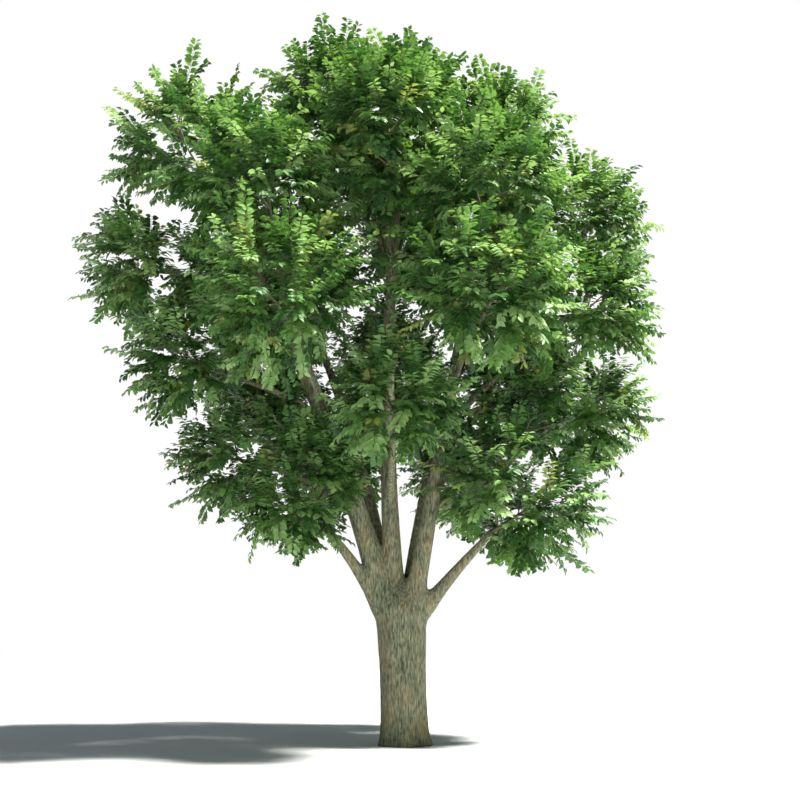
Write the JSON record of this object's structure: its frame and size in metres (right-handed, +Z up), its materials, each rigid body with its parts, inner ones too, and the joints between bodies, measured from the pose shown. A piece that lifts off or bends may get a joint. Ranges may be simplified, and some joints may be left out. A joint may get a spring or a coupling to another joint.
{
  "type": "chinese ash tree",
  "caption": "Broad deciduous tree with a short trunk that forks into several rising boughs, under a full, rounded, lobed crown of green leaf sprays.",
  "frame": {"origin": "middle of the flat cut under the trunk, at ground level", "axes": "+Z up the trunk, +X to the right and -Y towards the camera in the picture's view"},
  "size_m": [9.7871, 8.7673, 12.0604],
  "materials": {
    "bark": "matt grey-brown bark with fine upright furrows",
    "leaves": "fresh to deep green leaves, softly glossy"
  },
  "bodies": {
    "root": {"bough_skirt_left": "bark", "bough_skirt_right": "bark", "bough_top": "bark", "bough_top_right": "bark", "bough_upper_back_left": "bark", "bough_upper_back_right": "bark", "bough_upper_left": "bark", "foliage_back": "leaves", "foliage_back_left": "leaves", "foliage_back_right": "leaves", "foliage_front_left": "leaves", "foliage_front_right": "leaves", "foliage_left": "leaves", "foliage_left_lower": "leaves", "foliage_low_back_left": "leaves", "foliage_low_back_right": "leaves", "foliage_low_front": "leaves", "foliage_low_left": "leaves", "foliage_low_right": "leaves", "foliage_right": "leaves", "foliage_skirt_left": "leaves", "foliage_skirt_right": "leaves", "foliage_top": "leaves", "foliage_top_back": "leaves", "foliage_top_front": "leaves", "foliage_top_left": "leaves", "foliage_top_right": "leaves", "foliage_upper_back_left": "leaves", "foliage_upper_back_right": "leaves", "foliage_upper_front_left": "leaves", "foliage_upper_front_right": "leaves", "foliage_upper_left": "leaves", "foliage_upper_right": "leaves", "limb_back": "bark", "limb_back_left": "bark", "limb_back_right": "bark", "limb_front_left": "bark", "limb_front_right": "bark", "limb_left": "bark", "limb_left_lower": "bark", "limb_low_back_left": "bark", "limb_low_back_right": "bark", "limb_low_front": "bark", "limb_low_left": "bark", "limb_low_right": "bark", "limb_right": "bark", "limb_top_back": "bark", "limb_top_front": "bark", "limb_top_left": "bark", "limb_upper_front_left": "bark", "limb_upper_front_right": "bark", "limb_upper_right": "bark", "trunk": "bark"}
  },
  "joints": []
}
